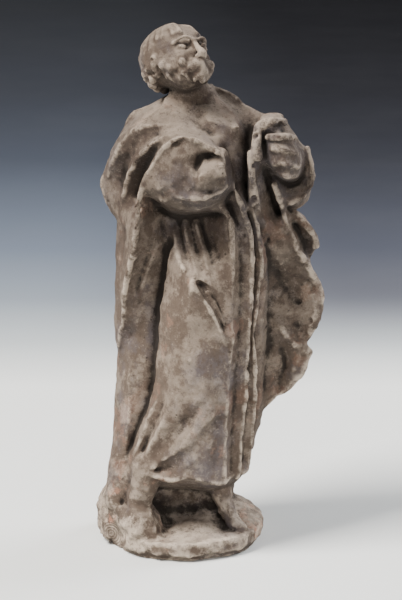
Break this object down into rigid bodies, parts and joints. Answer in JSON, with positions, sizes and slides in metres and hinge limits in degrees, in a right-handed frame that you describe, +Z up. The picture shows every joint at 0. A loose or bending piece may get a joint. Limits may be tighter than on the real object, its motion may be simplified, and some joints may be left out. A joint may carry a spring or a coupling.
{
  "type": "saint statue",
  "caption": "Standing bearded saint in a long cloak, modelled in clay and fired, with head raised and turned, arms bent and hands broken off, on its own rock ground.",
  "frame": {"origin": "on the flat underside, under the middle of the ground slab", "axes": "+Z up the figure, -Y towards the viewer in front of it, +X to that viewer's right"},
  "size_m": [0.1142, 0.0838, 0.2633],
  "materials": {
    "fired_clay": "matte"
  },
  "bodies": {
    "root": {"saint_figure": "fired_clay"}
  },
  "joints": []
}
